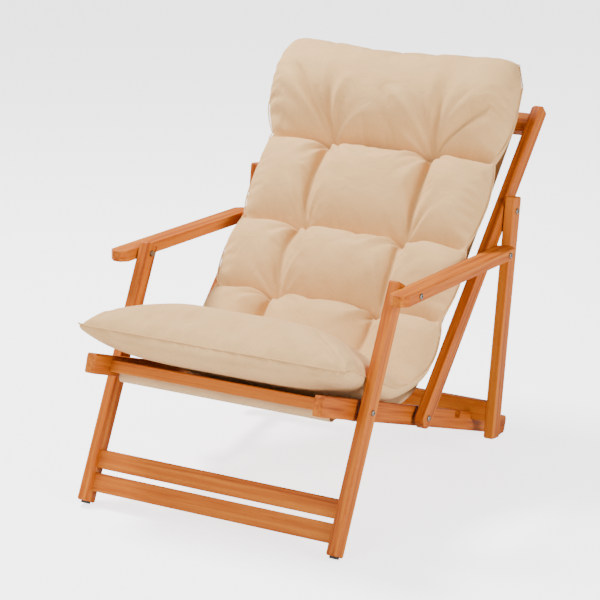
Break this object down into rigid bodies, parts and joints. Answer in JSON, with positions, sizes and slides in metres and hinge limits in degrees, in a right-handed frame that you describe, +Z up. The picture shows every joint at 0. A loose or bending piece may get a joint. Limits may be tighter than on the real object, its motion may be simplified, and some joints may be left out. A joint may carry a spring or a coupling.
{
  "type": "folding deck chair",
  "caption": "Folding beech deck chair with armrests, a canvas sling and one long tufted beige cushion with a headrest roll.",
  "frame": {"origin": "on the floor, at the middle of the chair's bounding box", "axes": "+Z up, the sitter looks along -Y, +X towards the armrest on the sitter's left"},
  "size_m": [0.6494, 0.8988, 0.7883],
  "materials": {
    "oiled_beech": "satin",
    "cushion_fabric": "matte",
    "canvas": "matte",
    "zinc_steel": "satin",
    "black_plastic": "matte"
  },
  "bodies": {
    "seat_frame": {"crossbar_dowels": "oiled_beech", "cushion_bend": "cushion_fabric", "cushion_seat": "cushion_fabric", "front_crossbar": "oiled_beech", "front_pivot_bolts": "zinc_steel", "front_pivot_nuts": "zinc_steel", "front_pivot_spacers": "zinc_steel", "rail_glides": "black_plastic", "rear_pivot_bolts": "zinc_steel", "rear_pivot_nuts": "zinc_steel", "rear_pivot_spacers": "zinc_steel", "seat_rail_left": "oiled_beech", "seat_rail_right": "oiled_beech", "sling_rod": "oiled_beech", "sling_seat": "canvas"},
    "back_frame": {"armrest_rear_bolts": "zinc_steel", "armrest_rear_nuts": "zinc_steel", "armrest_rear_washers": "zinc_steel", "back_post_left": "oiled_beech", "back_post_right": "oiled_beech", "cushion_back": "cushion_fabric", "cushion_headrest": "cushion_fabric", "sling_back": "canvas", "strut_bolts": "zinc_steel", "strut_nuts": "zinc_steel", "strut_washers": "zinc_steel", "top_crossbar": "oiled_beech", "top_crossbar_dowels": "oiled_beech", "tuft_buttons": "cushion_fabric"},
    "leg_frame": {"front_leg_left": "oiled_beech", "front_leg_right": "oiled_beech", "leg_glides": "black_plastic", "leg_slat_dowels": "oiled_beech", "leg_slat_lower": "oiled_beech", "leg_slat_upper": "oiled_beech", "leg_top_nuts": "zinc_steel", "leg_top_studs": "zinc_steel", "leg_top_washers": "zinc_steel"},
    "armrests": {"armrest_front_bolts": "zinc_steel", "armrest_left": "oiled_beech", "armrest_right": "oiled_beech"},
    "strut_frame": {"rear_strut_left": "oiled_beech", "rear_strut_right": "oiled_beech", "strut_board_dowels": "oiled_beech", "strut_cross_board": "oiled_beech"}
  },
  "joints": [
    {"name": "back_fold", "type": "hinge", "parent": "seat_frame", "child": "back_frame", "pos_m": [0, -0.06517, 0.16515], "axis": [1, 0, 0], "range_deg": [0, 40], "deforming": ["sling_seat", "sling_back", "cushion_bend"]},
    {"name": "leg_fold", "type": "hinge", "parent": "seat_frame", "child": "leg_frame", "pos_m": [0, -0.29465, 0.24506], "axis": [1, 0, 0], "range_deg": [0, 58.48]},
    {"name": "armrest_fold", "type": "hinge", "parent": "back_frame", "child": "armrests", "pos_m": [0, 0.19649, 0.42957], "axis": [1, 0, 0], "range_deg": [-23.01, 0]},
    {"name": "strut_swing", "type": "hinge", "parent": "back_frame", "child": "strut_frame", "pos_m": [0, 0.26683, 0.50065], "axis": [1, 0, 0], "range_deg": [0, 2.41]}
  ],
  "couplings": [
    {"joint": "leg_fold", "follows": "back_fold", "ratio": 1.4608},
    {"joint": "armrest_fold", "follows": "back_fold", "ratio": -0.574},
    {"joint": "strut_swing", "follows": "back_fold", "ratio": 0.06}
  ]
}
